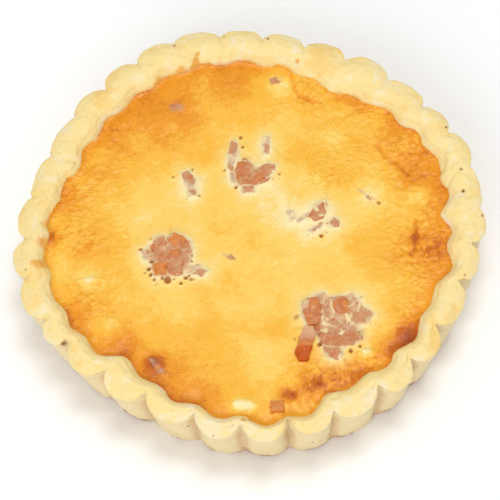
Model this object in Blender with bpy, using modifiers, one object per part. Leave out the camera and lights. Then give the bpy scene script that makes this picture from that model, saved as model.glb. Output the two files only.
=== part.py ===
"""One-portion ham quiche: a fluted shortcrust case, a set egg filling and the diced ham that shows on top.

Metres, +Z up. The origin is on the table under the middle of the case, and the camera side is -Y.
The case and the filling are turned profiles, which are then pushed into flutes. Each dice of ham is a
bevelled block that sits in its own pocket in the filling.
"""

import math
import random

import bpy
from mathutils import Euler, Matrix, Vector

MM = 0.001

# Driving sizes of the case.
LOBE_RADIUS = 62.5 * MM
RIM_HEIGHT = 21.5 * MM
FLOOR_THICKNESS = 3.0 * MM
FLUTES = 30
STEPS_PER_FLUTE = 6
# Lobes are blunt and creases sharp: the power of the distance from the middle of the lobe.
CREASE_POWER = 2.6
INNER_WAVE = 1.5 * MM
LOBE_DROOP = 1.3 * MM
GAP = 0.35 * MM
# The inner edge stands off-centre, towards the front, so the rim is narrower there.
INNER_SHIFT = 2.0 * MM
INNER_SHIFT_AZIMUTH = 268.0

# Where the dough departs from the round tin: (waves round the rim, share of the radius, azimuth of a high).
OVAL = ((4, 0.020, 10.0), (2, 0.010, -62.0))
# Where the rim was left thick on its inner side, or thin where the width is negative:
# (azimuth in degrees, extra width, half-width in degrees).
THICK_PLACES = (
    (57.5, 2.8 * MM, 12.0),
    (154.0, 1.6 * MM, 10.0),
    (227.0, 3.4 * MM, 6.5),
    (240.0, 1.0 * MM, 3.5),
    (258.0, -1.0 * MM, 7.0),
    (272.0, -1.8 * MM, 7.0),
    (291.0, 2.4 * MM, 7.0),
    (303.0, 1.0 * MM, 4.0),
    (329.0, 1.6 * MM, 5.0),
    (337.0, -1.2 * MM, 3.5),
    (357.5, 2.4 * MM, 7.0),
)
# Each crease, and the lobe that follows it: (azimuth of the crease in degrees, its depth, how far the lobe
# reaches past the lobe radius, how far the lobe's lip droops as a share of LOBE_DROOP).
FLUTE_ROWS = (
    (9.4, 2.2 * MM, -0.3 * MM, 0.8),
    (21.3, 2.9 * MM, -0.7 * MM, 0.9),
    (31.7, 3.0 * MM, -0.4 * MM, 0.7),
    (44.3, 2.7 * MM, 0.7 * MM, 0.8),
    (57.7, 3.1 * MM, 0.4 * MM, 1.0),
    (69.7, 3.8 * MM, -0.6 * MM, 0.7),
    (81.4, 3.4 * MM, -0.5 * MM, 0.6),
    (92.8, 2.6 * MM, 0.6 * MM, 0.8),
    (104.7, 1.5 * MM, 0.5 * MM, 0.7),
    (115.7, 2.7 * MM, 0.1 * MM, 0.9),
    (126.9, 3.3 * MM, -0.3 * MM, 0.8),
    (138.6, 2.5 * MM, -1.2 * MM, 0.7),
    (151.6, 2.8 * MM, -1.4 * MM, 0.6),
    (164.9, 2.6 * MM, -0.3 * MM, 0.9),
    (177.2, 2.9 * MM, 0.4 * MM, 1.0),
    (188.5, 2.1 * MM, 0.6 * MM, 1.0),
    (201.9, 2.6 * MM, 0.0 * MM, 1.1),
    (211.3, 3.2 * MM, 0.0 * MM, 1.3),
    (223.7, 3.8 * MM, 0.1 * MM, 1.2),
    (236.5, 4.2 * MM, -0.2 * MM, 1.3),
    (250.5, 4.0 * MM, 0.6 * MM, 1.4),
    (262.5, 3.0 * MM, 0.2 * MM, 1.3),
    (274.2, 4.4 * MM, -0.3 * MM, 1.4),
    (285.5, 3.6 * MM, -0.5 * MM, 1.3),
    (298.4, 3.8 * MM, 0.2 * MM, 1.4),
    (309.5, 3.5 * MM, 0.1 * MM, 1.2),
    (321.2, 3.6 * MM, -0.2 * MM, 1.3),
    (335.3, 3.5 * MM, -0.3 * MM, 1.1),
    (346.7, 3.0 * MM, -0.4 * MM, 1.0),
    (357.1, 1.8 * MM, -1.0 * MM, 0.9),
)
# The rim stands highest at its front right, where its ropes are also deepest.
RIM_UNEVENNESS = 0.7 * MM
ROPE_AZIMUTH = 310.0

# Level of the filling below the rim's crest, and the relief of its skin.
FILLING_DROP = 3.1 * MM
SKIN_SWELL = 0.3 * MM

HAM_THICKNESS = 3.6 * MM
HAM_BEVEL = 0.35 * MM
HAM_LEAN = 4.0
# Dice of ham: (name, x, y, length, width, yaw in degrees, how proud of the skin), in millimetres.
HAM = (
    ("ham_west_slab", -25.0, -4.1, 7.6, 3.4, 88, 0.5),
    ("ham_west_strip", -20.5, -9.0, 7.2, 4.2, 86, 0.6),
    ("ham_west_diamond", -19.9, -1.7, 4.4, 4.0, 45, 0.8),
    ("ham_west_front_dice", -25.3, -10.6, 3.6, 3.4, -7, 0.6),
    ("ham_west_sliver", -15.8, -5.7, 7.4, 2.0, 82, 0.3),
    ("ham_west_outlier", -13.9, -11.6, 4.6, 2.8, 15, 0.2),
    ("ham_west_crumb", -29.1, -5.3, 2.8, 2.0, 86, 0.3),
    ("ham_east_stick", 10.6, -37.0, 10.0, 3.4, 70, 1.3),
    ("ham_east_left_dice", 12.4, -27.4, 6.6, 4.0, 78, 0.8),
    ("ham_east_back_dice", 21.2, -25.8, 4.4, 3.6, -3, 0.7),
    ("ham_east_inner_slab", 17.0, -30.4, 4.6, 2.8, 23, 0.5),
    ("ham_east_right_slab", 26.8, -29.8, 5.2, 3.0, -26, 0.4),
    ("ham_east_middle_dice", 22.4, -32.0, 4.6, 2.6, -25, 0.4),
    ("ham_east_long_strip", 20.4, -36.4, 9.8, 3.0, -1, 0.7),
    ("ham_east_front_dice", 17.4, -40.7, 4.2, 3.4, -15, 0.5),
    ("ham_north_strip", -3.0, 23.0, 10.4, 2.2, 79, 0.3),
    ("ham_north_block", 0.2, 16.8, 7.4, 3.2, 84, 0.7),
    ("ham_north_slant", 7.0, 17.2, 8.6, 3.0, 29, 0.6),
    ("ham_north_chip", 0.9, 10.9, 3.4, 2.0, -2, 0.4),
    ("ham_north_faint_strip", 6.4, 25.2, 5.4, 2.0, 82, 0.1),
    ("ham_northwest_strip", -15.0, 15.2, 7.6, 2.8, 102, 0.3),
    ("ham_middle_chip", 11.2, 1.4, 3.6, 2.0, -65, 0.2),
    ("ham_middle_block", 18.6, 2.6, 6.4, 3.8, 60, 0.5),
    ("ham_middle_right_dice", 22.6, -1.2, 3.4, 2.6, 21, 0.4),
    ("ham_middle_sliver", 16.8, -3.4, 4.2, 1.6, 37, 0.1),
    ("ham_far_sliver", 31.4, 6.4, 6.0, 1.4, -37, 0.1),
    ("ham_back_chip", 11.0, 45.4, 3.2, 2.2, 4, 0.3),
    ("ham_front_cube", 2.0, -54.0, 3.4, 3.3, -7, 0.9),
)

# Case profile, from the middle of its floor, up the inner wall, over the rim and down to the table:
# (radius, height, share of the flute depth, share of the inner wave, share of the lobe's droop).
CASE_PROFILE = (
    (0.0, FLOOR_THICKNESS, 0.0, 0.0, 0.0),
    (49.6 * MM, FLOOR_THICKNESS, 0.0, 0.2, 0.0),
    (53.6 * MM, RIM_HEIGHT - 4.6 * MM, 0.0, 1.0, 0.0),
    (54.6 * MM, RIM_HEIGHT - 2.4 * MM, 0.0, 1.0, 0.0),
    (56.0 * MM, RIM_HEIGHT - 0.9 * MM, 0.1, 0.9, 0.0),
    (57.8 * MM, RIM_HEIGHT - 0.1 * MM, 0.3, 0.6, 0.1),
    (59.8 * MM, RIM_HEIGHT, 0.65, 0.3, 0.4),
    (61.6 * MM, RIM_HEIGHT - 0.7 * MM, 0.92, 0.05, 0.8),
    (LOBE_RADIUS, RIM_HEIGHT - 1.7 * MM, 1.0, 0.0, 1.0),
    (61.8 * MM, RIM_HEIGHT - 3.6 * MM, 1.0, 0.0, 0.8),
    (60.8 * MM, 13.0 * MM, 0.9, 0.0, 0.2),
    (59.2 * MM, 6.0 * MM, 0.7, 0.0, 0.0),
    (58.1 * MM, 1.2 * MM, 0.5, 0.0, 0.0),
    (57.3 * MM, 0.0, 0.45, 0.0, 0.0),
    (0.0, 0.0, 0.0, 0.0, 0.0),
)

# Filling profile, from the middle of its skin, out to the rim and down the case's inner wall with a gap.
SKIN_HEIGHT = RIM_HEIGHT - FILLING_DROP
FILLING_PROFILE = (
    (0.0, SKIN_HEIGHT - 0.3 * MM, 0.0, 0.0, 0.0),
    (18.0 * MM, SKIN_HEIGHT - 0.2 * MM, 0.0, 0.0, 0.0),
    (34.0 * MM, SKIN_HEIGHT, 0.0, 0.2, 0.0),
    (45.0 * MM, SKIN_HEIGHT, 0.0, 0.4, 0.0),
    (51.0 * MM, SKIN_HEIGHT - 0.1 * MM, 0.0, 0.7, 0.0),
    (54.4 * MM - GAP, SKIN_HEIGHT + 0.3 * MM, 0.0, 1.0, 0.0),
    (53.6 * MM - 1.5 * GAP, RIM_HEIGHT - 4.6 * MM, 0.0, 1.0, 0.0),
    (49.6 * MM - 3 * GAP, FLOOR_THICKNESS + GAP, 0.0, 0.2, 0.0),
    (0.0, FLOOR_THICKNESS + GAP, 0.0, 0.0, 0.0),
)


def clear_scene():
    for obj in list(bpy.data.objects):
        bpy.data.objects.remove(obj, do_unlink=True)


def new_collection(name):
    made = bpy.data.collections.new(name)
    bpy.context.scene.collection.children.link(made)
    return made


def material(name, colour, roughness):
    made = bpy.data.materials.new(name)
    made.use_nodes = True
    surface = made.node_tree.nodes["Principled BSDF"]
    surface.inputs["Base Color"].default_value = (*colour, 1.0)
    surface.inputs["Roughness"].default_value = roughness
    surface.inputs["Metallic"].default_value = 0.0
    return made


def flute_table():
    """One entry for each flute: the azimuth of its first crease, and how it differs from its neighbours."""
    flutes = []
    for azimuth, depth, reach, droop in FLUTE_ROWS:
        flutes.append({"crease": math.radians(azimuth), "depth": depth, "reach": reach, "droop": droop})
    return flutes


def ropeness(azimuth):
    """1 at the front right, where the rim is highest and most roped, and -1 opposite."""
    return math.cos(azimuth - math.radians(ROPE_AZIMUTH))


def rim_swell(azimuth):
    """Slow rise and fall of the rim's height."""
    return ropeness(azimuth) + 0.4 * math.sin(3 * azimuth + 0.7) + 0.3 * math.sin(5 * azimuth + 2.1)


def outline_scale(azimuth):
    """How far the case is out of round at this azimuth, as a share of the radius."""
    return 1.0 + sum(
        share * math.cos(waves * (azimuth - math.radians(high))) for waves, share, high in OVAL
    )


def extra_thickness(azimuth):
    """Extra width of the rim on its inner side."""
    total = 0.0
    for centre, width, spread in THICK_PLACES:
        away = (math.degrees(azimuth) - centre + 180.0) % 360.0 - 180.0
        total += width * math.exp(-((away / spread) ** 2))
    return total


def flute_point(point, station, flutes):
    """Moves one point of a turned profile to its place on the fluted shape. The creases fall on whole flutes."""
    radius, height, depth_share, wave_share, droop_share = station
    turns = (math.atan2(point.y, point.x) % math.tau) / math.tau * FLUTES
    number = int(turns + 1e-4)
    along = turns - number
    here = flutes[number % FLUTES]
    after = flutes[(number + 1) % FLUTES]
    step = (after["crease"] - here["crease"]) % math.tau
    azimuth = here["crease"] + along * step
    offset = 2.0 * along - 1.0
    crease = abs(offset) ** CREASE_POWER
    wave = 0.5 - 0.5 * math.cos(math.pi * offset)
    depth = here["depth"] + (after["depth"] - here["depth"]) * along
    lobe = 1.0 - crease
    radius += depth_share * (here["reach"] * lobe - depth * crease)
    radius += wave_share * INNER_SHIFT * math.cos(azimuth - math.radians(INNER_SHIFT_AZIMUTH))
    radius -= wave_share * (INNER_WAVE * (1.0 + 0.4 * ropeness(azimuth)) * wave + extra_thickness(azimuth))
    radius *= outline_scale(azimuth)
    height -= droop_share * LOBE_DROOP * here["droop"] * lobe
    height += max(depth_share, droop_share) * RIM_UNEVENNESS * rim_swell(azimuth) * height / RIM_HEIGHT
    return Vector((radius * math.cos(azimuth), radius * math.sin(azimuth), height))


def skin_swell(x, y):
    """Low swells in the skin of the filling."""
    u = x / (10 * MM)
    v = y / (10 * MM)
    return SKIN_SWELL * (0.5 * math.sin(0.9 * u + 0.4 * v) + 0.5 * math.sin(1.1 * v - 0.6 * u + 1.3))


def turned(name, profile, collection):
    """Turns a profile about +Z with a Screw modifier, and applies it."""
    mesh = bpy.data.meshes.new(name)
    points = [(station[0], 0.0, station[1]) for station in profile]
    mesh.from_pydata(points, [(n, n + 1) for n in range(len(points) - 1)], [])
    obj = bpy.data.objects.new(name, mesh)
    collection.objects.link(obj)
    screw = obj.modifiers.new("Turn", "SCREW")
    screw.axis = "Z"
    screw.steps = FLUTES * STEPS_PER_FLUTE
    screw.render_steps = screw.steps
    screw.use_merge_vertices = True
    screw.merge_threshold = 0.00005
    screw.use_smooth_shade = True
    graph = bpy.context.evaluated_depsgraph_get()
    turned_mesh = bpy.data.meshes.new_from_object(obj.evaluated_get(graph))
    obj.modifiers.clear()
    obj.data = turned_mesh
    bpy.data.meshes.remove(mesh)
    turned_mesh.name = name
    return obj


def fluted(name, profile, flutes, collection):
    """A turned profile with every point moved into the flutes."""
    obj = turned(name, profile, collection)
    for vertex in obj.data.vertices:
        radius = math.hypot(vertex.co.x, vertex.co.y)
        height = vertex.co.z
        station = min(profile, key=lambda s: abs(s[0] - radius) + abs(s[1] - height))
        if station[0] > 0.0:
            vertex.co = flute_point(vertex.co, station, flutes)
    return obj


def make_case(flutes, collection):
    case = fluted("pastry_case", CASE_PROFILE, flutes, collection)
    case.data.materials.append(material("Shortcrust pastry", (0.90, 0.76, 0.46), 0.6))
    return case


def make_filling(flutes, collection):
    filling = fluted("egg_filling", FILLING_PROFILE, flutes, collection)
    lowest_skin = SKIN_HEIGHT - 1.0 * MM
    for vertex in filling.data.vertices:
        if vertex.co.z > lowest_skin:
            away = min(1.0, math.hypot(vertex.co.x, vertex.co.y) / (0.8 * LOBE_RADIUS))
            vertex.co.z += skin_swell(vertex.co.x, vertex.co.y) * (1.0 - away**4)
    filling.data.materials.append(material("Baked egg custard", (0.90, 0.56, 0.15), 0.4))
    return filling


def block(name, size, matrix, collection):
    """A box of this size with its scale applied, at this place."""
    bpy.ops.mesh.primitive_cube_add(size=1.0)
    obj = bpy.context.active_object
    obj.name = obj.data.name = name
    obj.data.transform(Matrix.Diagonal((*size, 1.0)))
    obj.matrix_world = matrix
    for owner in list(obj.users_collection):
        owner.objects.unlink(obj)
    collection.objects.link(obj)
    return obj


def make_ham(collection, cutters, surface):
    """Each dice as a bevelled block, and a slightly larger block that cuts its pocket."""
    rng = random.Random(5)
    for name, x, y, length, width, yaw, proud in HAM:
        x, y, length, width, proud = (value * MM for value in (x, y, length, width, proud))
        pitch = math.radians(rng.uniform(-HAM_LEAN, HAM_LEAN))
        roll = math.radians(rng.uniform(-HAM_LEAN, HAM_LEAN))
        turn = Euler((pitch, roll, math.radians(yaw))).to_matrix().to_4x4()
        top = SKIN_HEIGHT + skin_swell(x, y) + proud
        place = Matrix.Translation((x, y, top - HAM_THICKNESS / 2)) @ turn
        dice = block(name, (length, width, HAM_THICKNESS), place, collection)
        edge = dice.modifiers.new("Worn edges", "BEVEL")
        edge.width = HAM_BEVEL
        edge.segments = 1
        dice.data.materials.append(surface)
        pocket_size = (length + 2 * GAP, width + 2 * GAP, HAM_THICKNESS + 2 * GAP)
        cutter = block(name + "_pocket", pocket_size, place, cutters)
        cutter.hide_render = True
        cutter.display_type = "WIRE"


def cut_pockets(filling, cutters):
    """Cuts a pocket in the filling for each dice of ham."""
    for cutter in cutters.objects:
        cut = filling.modifiers.new(cutter.name, "BOOLEAN")
        cut.operation = "DIFFERENCE"
        cut.solver = "EXACT"
        cut.object = cutter


def stand_on_origin(case, others):
    """Moves everything so that the case's box stands on the origin."""
    xs = [vertex.co.x for vertex in case.data.vertices]
    ys = [vertex.co.y for vertex in case.data.vertices]
    offset = Vector((-(min(xs) + max(xs)) / 2, -(min(ys) + max(ys)) / 2, 0.0))
    for obj in (case, *others):
        obj.location += offset


def main():
    clear_scene()
    parts = new_collection("Quiche")
    cutters = new_collection("Cutters")
    flutes = flute_table()
    case = make_case(flutes, parts)
    filling = make_filling(flutes, parts)
    make_ham(parts, cutters, material("Cooked ham", (0.62, 0.27, 0.17), 0.4))
    cut_pockets(filling, cutters)
    others = [obj for obj in (*parts.objects, *cutters.objects) if obj is not case]
    stand_on_origin(case, others)


main()
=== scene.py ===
"""Looks of a one-portion ham quiche: fluted shortcrust, browned egg custard and the diced ham in it.

The case and the filling follow the solids' own sizes at a finer pitch, with the wrinkles, hollows, blisters
and browned places that an oven gives them, and with painted shade in the creases of the wall, in the
holes and between the blisters, and a painted highlight along the lip. Sizes are in millimetres unless a
name says otherwise, and meshes are made in metres at the end.
"""

import math

import bpy
import numpy as np
from mathutils import Matrix, Vector


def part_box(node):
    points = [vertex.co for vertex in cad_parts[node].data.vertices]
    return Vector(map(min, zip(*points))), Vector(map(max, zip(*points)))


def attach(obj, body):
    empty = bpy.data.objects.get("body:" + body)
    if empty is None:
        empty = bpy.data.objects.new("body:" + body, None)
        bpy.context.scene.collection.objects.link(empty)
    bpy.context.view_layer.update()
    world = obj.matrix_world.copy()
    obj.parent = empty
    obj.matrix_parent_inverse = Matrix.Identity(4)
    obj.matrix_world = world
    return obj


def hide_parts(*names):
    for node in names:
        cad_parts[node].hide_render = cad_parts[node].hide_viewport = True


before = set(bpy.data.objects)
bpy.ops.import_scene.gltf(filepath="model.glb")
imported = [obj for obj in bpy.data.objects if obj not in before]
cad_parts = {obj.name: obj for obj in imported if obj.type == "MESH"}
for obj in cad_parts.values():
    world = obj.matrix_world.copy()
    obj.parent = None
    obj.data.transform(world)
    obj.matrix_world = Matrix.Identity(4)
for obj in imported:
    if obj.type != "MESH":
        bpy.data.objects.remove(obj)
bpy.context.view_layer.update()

MM = 0.001

# ---------------------------------------------------------------- the case's driving sizes
LOBE_RADIUS = 62.5
RIM_HEIGHT = 21.5
FLOOR_THICKNESS = 3.0
FLUTES = 30
CREASE_POWER = 2.6
INNER_WAVE = 1.5
LOBE_DROOP = 1.3
INNER_SHIFT = 2.0
INNER_SHIFT_AZIMUTH = 268.0
OVAL = ((4, 0.020, 10.0), (2, 0.010, -62.0))
THICK_PLACES = (
    (57.5, 2.8, 12.0),
    (154.0, 1.6, 10.0),
    (227.0, 3.4, 6.5),
    (240.0, 1.0, 3.5),
    (258.0, -1.0, 7.0),
    (272.0, -1.8, 7.0),
    (291.0, 2.4, 7.0),
    (303.0, 1.0, 4.0),
    (329.0, 1.6, 5.0),
    (337.0, -1.2, 3.5),
    (357.5, 2.4, 7.0),
)
# Each crease and the lobe after it: (azimuth of the crease in degrees, its depth, how far the lobe reaches
# past the lobe radius, how far its lip droops as a share of LOBE_DROOP).
FLUTE_ROWS = (
    (9.4, 2.2, -0.3, 0.8),
    (21.3, 2.9, -0.7, 0.9),
    (31.7, 3.0, -0.4, 0.7),
    (44.3, 2.7, 0.7, 0.8),
    (57.7, 3.1, 0.4, 1.0),
    (69.7, 3.8, -0.6, 0.7),
    (81.4, 3.4, -0.5, 0.6),
    (92.8, 2.6, 0.6, 0.8),
    (104.7, 1.5, 0.5, 0.7),
    (115.7, 2.7, 0.1, 0.9),
    (126.9, 3.3, -0.3, 0.8),
    (138.6, 2.5, -1.2, 0.7),
    (151.6, 2.8, -1.4, 0.6),
    (164.9, 2.6, -0.3, 0.9),
    (177.2, 2.9, 0.4, 1.0),
    (188.5, 2.1, 0.6, 1.0),
    (201.9, 2.6, 0.0, 1.1),
    (211.3, 3.2, 0.0, 1.3),
    (223.7, 3.8, 0.1, 1.2),
    (236.5, 4.2, -0.2, 1.3),
    (250.5, 4.0, 0.6, 1.4),
    (262.5, 3.0, 0.2, 1.3),
    (274.2, 4.4, -0.3, 1.4),
    (285.5, 3.6, -0.5, 1.3),
    (298.4, 3.8, 0.2, 1.4),
    (309.5, 3.5, 0.1, 1.2),
    (321.2, 3.6, -0.2, 1.3),
    (335.3, 3.5, -0.3, 1.1),
    (346.7, 3.0, -0.4, 1.0),
    (357.1, 1.8, -1.0, 0.9),
)
RIM_UNEVENNESS = 0.7
ROPE_AZIMUTH = 310.0
SKIN_HEIGHT = RIM_HEIGHT - 3.1
SKIN_SWELL = 0.3

# Rim and outer wall, from just under the custard's skin, over the lip, to the base:
# (radius, height, share of the flute depth, share of the inner wave, share of the lobe's droop).
RIM_PROFILE = (
    (53.6, RIM_HEIGHT - 4.6, 0.0, 1.0, 0.0),
    (54.6, RIM_HEIGHT - 2.4, 0.0, 1.0, 0.0),
    (56.0, RIM_HEIGHT - 0.9, 0.1, 0.9, 0.0),
    (57.8, RIM_HEIGHT - 0.1, 0.3, 0.6, 0.1),
    (59.8, RIM_HEIGHT, 0.65, 0.3, 0.4),
    (61.7, RIM_HEIGHT - 0.55, 0.92, 0.05, 0.8),
    (62.6, RIM_HEIGHT - 1.0, 1.0, 0.0, 1.0),
    (62.7, RIM_HEIGHT - 1.35, 1.0, 0.0, 1.0),
    (61.9, RIM_HEIGHT - 1.6, 1.0, 0.0, 1.0),
    (61.5, RIM_HEIGHT - 2.2, 1.0, 0.0, 0.95),
    (61.7, RIM_HEIGHT - 3.8, 1.0, 0.0, 0.8),
    (60.8, 13.0, 0.9, 0.0, 0.2),
    (59.2, 6.0, 0.7, 0.0, 0.0),
    (58.1, 1.2, 0.5, 0.0, 0.0),
    (57.3, 0.0, 0.45, 0.0, 0.0),
)
BOWL_STATIONS = ((25.0, FLOOR_THICKNESS, 0.0, 0.0, 0.0), (49.6, FLOOR_THICKNESS, 0.0, 0.2, 0.0))
BASE_STATIONS = ((50.0, 0.0, 0.2, 0.0, 0.0), (25.0, 0.0, 0.0, 0.0, 0.0))
STATION_PITCH = 0.36
COLUMNS_PER_FLUTE = 32


# ---------------------------------------------------------------- random fields
_draw = np.random.default_rng(3)
DIRECTIONS = _draw.normal(size=(256, 3))
DIRECTIONS /= np.linalg.norm(DIRECTIONS, axis=1)[:, None]


def scatter(cells, seed):
    """A fixed random whole number for each whole-number point."""
    mixed = cells[:, 0] * 374761393 + cells[:, 1] * 668265263 + cells[:, 2] * 1274126177 + seed * 974634777
    mixed = (mixed & 0xFFFFFFFF) ^ ((mixed & 0xFFFFFFFF) >> 13)
    mixed = (mixed * 1274126177) & 0xFFFFFFFF
    return mixed ^ (mixed >> 16)


def ripple(points, size, seed=0):
    """A smooth random field from about -1 to 1, whose lumps are about this size across."""
    at = points / size + 0.37 * seed
    cell = np.floor(at).astype(np.int64)
    part = at - cell
    fade = part**3 * (part * (part * 6 - 15) + 10)
    total = np.zeros(len(at))
    for corner in np.ndindex(2, 2, 2):
        pull = DIRECTIONS[scatter(cell + np.array(corner), seed) % 256]
        weight = np.prod(np.where(np.array(corner) == 1, fade, 1 - fade), axis=1)
        total += weight * np.sum(pull * (part - corner), axis=1)
    return 1.7 * total


def billow(points, size, seed=0, octaves=3):
    """Ripples of halving size laid over each other."""
    return sum(ripple(points, size / 2**k, seed + k) * 0.5**k for k in range(octaves)) / 1.5


def fold_lines(points, size, seed=0):
    """1 along thin winding lines, and 0 away from them."""
    return np.clip(1 - 3.0 * np.abs(ripple(points, size, seed)), 0, 1)


def blisters(points, size, seed=0):
    """Rounded domes packed side by side, from 0 between them to 1 at their tops."""
    at = points[:, :2] / size
    cell = np.floor(at).astype(np.int64)
    nearest = np.full(len(at), 9.0)
    for step in np.ndindex(3, 3):
        home = cell + np.array(step) - 1
        key = scatter(np.column_stack([home, np.full(len(home), seed)]), seed)
        jitter = np.column_stack([key % 1009, (key >> 10) % 1013]) / 1010.0
        nearest = np.minimum(nearest, np.sum((home + jitter - at) ** 2, axis=1))
    return np.clip(1 - nearest * 1.6, 0, 1)


def smooth_step(value, low, high):
    share = np.clip((value - low) / (high - low), 0, 1)
    return share * share * (3 - 2 * share)


def spots(x, y, places):
    """Sum of soft round spots: (x, y, radius, strength) each."""
    total = np.zeros(len(x))
    for px, py, radius, strength in places:
        total += strength * np.exp(-((x - px) ** 2 + (y - py) ** 2) / radius**2)
    return total


def along_line(x, y, corners):
    """Distance from each point to a line through these corners."""
    nearest = np.full(len(x), 1e9)
    for (x0, y0), (x1, y1) in zip(corners[:-1], corners[1:]):
        dx, dy = x1 - x0, y1 - y0
        share = np.clip(((x - x0) * dx + (y - y0) * dy) / (dx * dx + dy * dy), 0, 1)
        nearest = np.minimum(nearest, np.hypot(x - x0 - share * dx, y - y0 - share * dy))
    return nearest


# ---------------------------------------------------------------- where the solids stand
def plan_shift():
    """How far the solids' plan is moved so that the case's box stands on the origin."""
    low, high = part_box("ham_front_cube")
    return (np.array(low) + np.array(high))[:2] / 2 / MM - np.array([2.0, -54.0])


SHIFT = plan_shift()


CREASES, DEPTHS, REACHES, DROOPS = np.array(FLUTE_ROWS).T
CREASES = np.radians(CREASES)


def ropeness(azimuth):
    return np.cos(azimuth - math.radians(ROPE_AZIMUTH))


def rim_swell(azimuth):
    return ropeness(azimuth) + 0.4 * np.sin(3 * azimuth + 0.7) + 0.3 * np.sin(5 * azimuth + 2.1)


def outline_scale(azimuth):
    return 1.0 + sum(share * np.cos(waves * (azimuth - math.radians(high))) for waves, share, high in OVAL)


def extra_thickness(azimuth):
    total = 0.0
    for centre, width, spread in THICK_PLACES:
        away = (np.degrees(azimuth) - centre + 180.0) % 360.0 - 180.0
        total = total + width * np.exp(-((away / spread) ** 2))
    return total


def flute_points(turns, stations):
    """The case's points for every station (rows) and every turn (columns), counted in flutes."""
    radius, height, flute, wave, droop = (stations[:, k][:, None] for k in range(5))
    number = np.floor(turns).astype(int)
    along = (turns - number)[None, :]
    here = number % FLUTES
    after = (number + 1) % FLUTES
    step = np.mod(CREASES[after] - CREASES[here], math.tau)
    azimuth = CREASES[here] + along * step
    offset = 2 * along - 1
    crease = np.abs(offset) ** CREASE_POWER
    rope = 0.5 - 0.5 * np.cos(math.pi * offset)
    depth = DEPTHS[here] + (DEPTHS[after] - DEPTHS[here]) * along
    lobe = 1 - crease
    radius = radius + flute * (REACHES[here] * lobe - depth * crease)
    radius = radius + wave * INNER_SHIFT * np.cos(azimuth - math.radians(INNER_SHIFT_AZIMUTH))
    radius = radius - wave * (INNER_WAVE * (1 + 0.4 * ropeness(azimuth)) * rope + extra_thickness(azimuth))
    radius = radius * outline_scale(azimuth)
    height = height - droop * LOBE_DROOP * DROOPS[here] * lobe
    height = height + np.maximum(flute, droop) * RIM_UNEVENNESS * rim_swell(azimuth) * height / RIM_HEIGHT
    x = radius * np.cos(azimuth)
    y = radius * np.sin(azimuth)
    return np.stack([x, y, height + 0 * x], axis=-1)


def skin_level(x, y):
    """Height of the custard's skin before its own relief, as the solid has it."""
    u = x / 10
    v = y / 10
    swell = SKIN_SWELL * (0.5 * np.sin(0.9 * u + 0.4 * v) + 0.5 * np.sin(1.1 * v - 0.6 * u + 1.3))
    out = np.minimum(1.0, np.hypot(x, y) / (0.8 * LOBE_RADIUS))
    return SKIN_HEIGHT - 0.3 * (1 - out**2) + swell * (1 - out**4)


# ---------------------------------------------------------------- meshes
def make_piece(name, points, faces, replaced, masks=()):
    """A mesh from points in millimetres, riding on the quiche, with its float attributes."""
    mesh = bpy.data.meshes.new(name)
    mesh.from_pydata(((np.asarray(points) + [*SHIFT, 0]) * MM).tolist(), [], faces)
    mesh.validate()
    for mask, values in dict(masks).items():
        mesh.attributes.new(mask, "FLOAT", "POINT").data.foreach_set("value", np.asarray(values, np.float32))
    mesh.shade_smooth()
    piece = bpy.data.objects.new(name, mesh)
    bpy.context.scene.collection.objects.link(piece)
    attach(piece, "root")
    if replaced:
        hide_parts(*replaced)
    return piece


def lattice_faces(rows, columns, wrap):
    """Four-sided faces of a lattice of points, row by row. wrap joins the last column to the first."""
    row = np.arange(rows - 1)[:, None] * columns
    column = np.arange(columns if wrap else columns - 1)[None, :]
    after = (column + 1) % columns
    return np.stack([row + column, row + columns + column, row + columns + after, row + after], -1).reshape(-1, 4)


def end_faces(top_pole, base_pole, rows, columns):
    """Triangles that close both ends of a wrapped lattice, each on its own middle point."""
    last = (rows - 1) * columns
    faces = []
    for n in range(columns):
        after = (n + 1) % columns
        faces.append((top_pole, n, after))
        faces.append((base_pole, last + after, last + n))
    return faces


def surface_normals(grid):
    """Unit normals of a lattice of points that is closed along its columns."""
    down = np.gradient(grid, axis=0)
    along = np.roll(grid, -1, axis=1) - np.roll(grid, 1, axis=1)
    normal = np.cross(down, along)
    return normal / np.maximum(np.linalg.norm(normal, axis=-1, keepdims=True), 1e-9)


def evenly(stations, pitch):
    """Stations along a profile at an even pitch, with the corners between them eased."""
    knots = np.array(stations)
    run = np.concatenate([[0], np.cumsum(np.hypot(np.diff(knots[:, 0]), np.diff(knots[:, 1])))])
    even = np.linspace(0, run[-1], int(run[-1] / pitch) + 1)
    made = np.stack([np.interp(even, run, knots[:, k]) for k in range(5)], axis=1)
    eased = made.copy()
    eased[1:-1] = 0.2 * made[:-2] + 0.6 * made[1:-1] + 0.2 * made[2:]
    return eased


# ---------------------------------------------------------------- shortcrust case
# Pits and small burnt holes in the dough: (azimuth, radius in plan, size, depth).
DOUGH_PITS = (
    (2.8, 57.2, 0.6, 1.0),
    (9.1, 58.3, 0.3, 0.3),
    (186.5, 60.6, 0.6, 0.4),
    (210.6, 59.6, 0.8, 0.5),
    (223.3, 59.6, 0.9, 0.6),
    (260.6, 59.9, 0.35, 0.4),
    (335.3, 59.4, 0.8, 0.5),
)
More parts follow.
